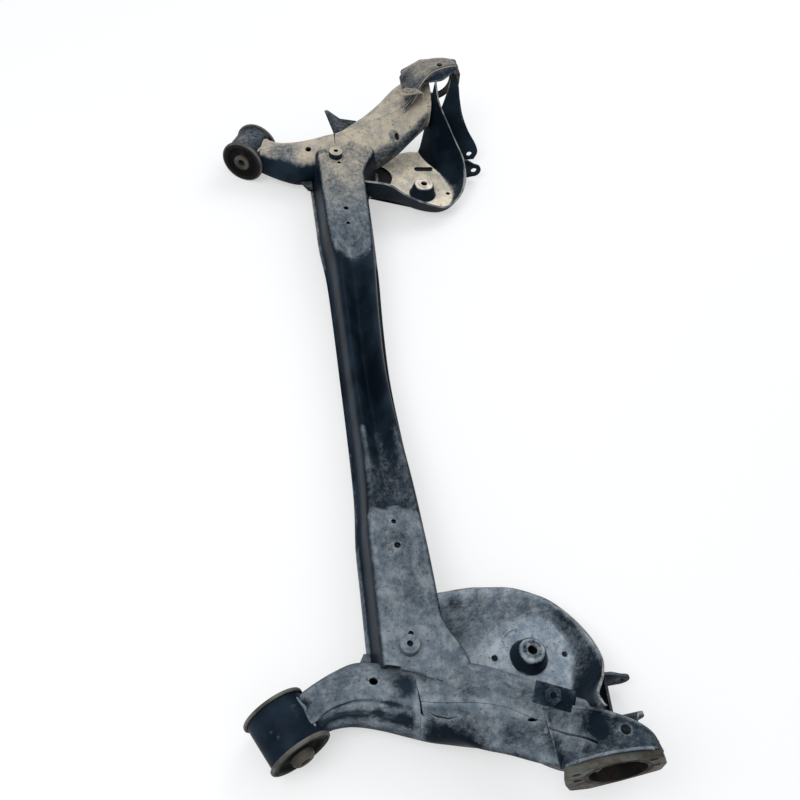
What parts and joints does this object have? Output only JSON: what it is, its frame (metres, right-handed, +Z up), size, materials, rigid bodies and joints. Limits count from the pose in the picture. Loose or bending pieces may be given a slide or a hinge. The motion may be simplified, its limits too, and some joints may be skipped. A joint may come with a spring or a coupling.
{
  "type": "twist beam rear axle",
  "caption": "Rear axle of a car: a pressed crossbeam welded to trailing arms with rubber bushes, spring pans, hub flanges and damper mounts.",
  "frame": {"origin": "middle of the axle's bounds in plan, on the floor it rests on", "axes": "+Z up as it rests on the floor; +Y towards the front of the car, from the hubs to the bushes; +X to the car's right, along the crossbeam"},
  "size_m": [1.325, 0.4992, 0.1815],
  "materials": {
    "beam_steel": "worn black paint",
    "grey_steel": "black paint dulled by grey dust",
    "dusty_steel": "paint under beige road dust",
    "bare_steel": "dull, lightly rusted",
    "flange_steel": "dull, lightly rusted",
    "core_steel": "dull",
    "rubber": "matt black"
  },
  "bodies": {
    "root": {"crossbeam": "beam_steel", "right_arm_inner_shell": "dusty_steel", "right_arm_outer_shell": "grey_steel", "right_front_arm": "grey_steel", "right_beam_boss": "grey_steel", "right_bush_housing": "beam_steel", "right_bush_sleeve": "bare_steel", "right_bush_end_ring": "bare_steel", "right_bush_rubber": "rubber", "right_bush_core": "core_steel", "right_spring_pan": "dusty_steel", "right_corner_gusset": "beam_steel", "right_damper_bracket": "beam_steel", "right_damper_strap": "beam_steel", "right_hose_bracket": "beam_steel", "right_hose_bracket_nut": "core_steel", "right_hub_carrier": "grey_steel", "right_hub_flange": "flange_steel", "left_arm_inner_shell": "dusty_steel", "left_arm_outer_shell": "grey_steel", "left_front_arm": "grey_steel", "left_beam_boss": "grey_steel", "left_bush_housing": "beam_steel", "left_bush_sleeve": "bare_steel", "left_bush_end_ring": "bare_steel", "left_bush_rubber": "rubber", "left_bush_core": "core_steel", "left_spring_pan": "dusty_steel", "left_corner_gusset": "beam_steel", "left_damper_bracket": "beam_steel", "left_damper_strap": "beam_steel", "left_hose_bracket": "beam_steel", "left_hose_bracket_nut": "core_steel", "left_hub_carrier": "grey_steel", "left_hub_flange": "flange_steel", "right_cable_bracket": "grey_steel"}
  },
  "joints": []
}
